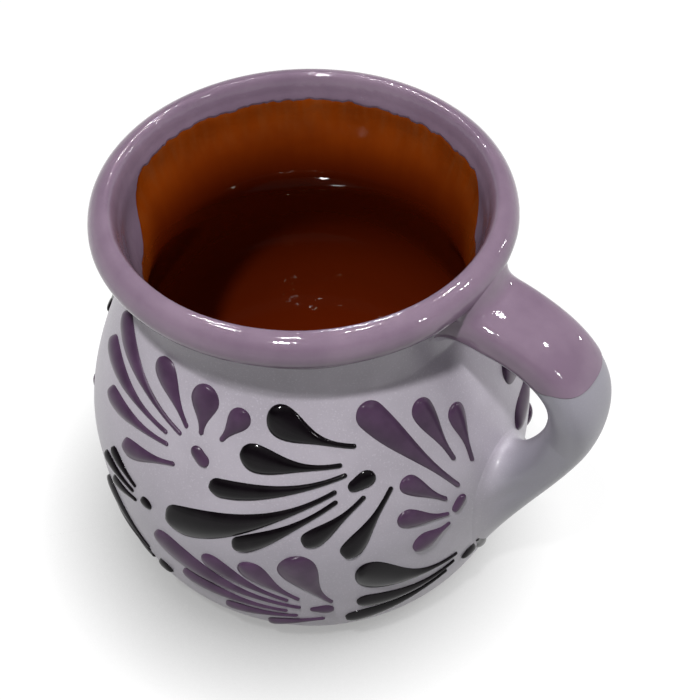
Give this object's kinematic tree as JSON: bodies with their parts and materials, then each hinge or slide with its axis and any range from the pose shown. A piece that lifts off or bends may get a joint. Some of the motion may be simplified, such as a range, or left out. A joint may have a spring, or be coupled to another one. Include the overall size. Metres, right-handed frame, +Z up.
{
  "type": "clay mug",
  "caption": "Round-bellied glazed clay mug with a flared collar, a rolled lip, a strap handle and raised teardrop stroke fans over the belly.",
  "frame": {"origin": "middle of the flat foot, on the surface that the mug stands on", "axes": "+Z up the pot's axis, +X from the axis towards the handle, +Y to the left of the handle"},
  "size_m": [0.1246, 0.1056, 0.1],
  "materials": {
    "fired_clay": "bare red earthenware, matt",
    "lilac_slip": "lilac grey slip, satin",
    "mauve_glaze": "mauve glaze, high gloss",
    "amber_glaze": "clear amber glaze over red clay, high gloss",
    "violet_trail": "trailed violet slip, raised, gloss",
    "black_trail": "trailed black slip, raised, gloss"
  },
  "bodies": {
    "root": {"pot_wall": "fired_clay", "handle": "lilac_slip", "slip_coat": "lilac_slip", "rim_glaze": "mauve_glaze", "handle_glaze": "mauve_glaze", "inside_glaze": "amber_glaze", "violet_fans_high": "violet_trail", "black_fans_high": "black_trail", "violet_fans_side": "violet_trail", "violet_fans_low": "violet_trail", "black_fans_low": "black_trail", "black_sprigs": "black_trail", "violet_fans_fill": "violet_trail", "black_fans_fill": "black_trail"}
  },
  "joints": []
}
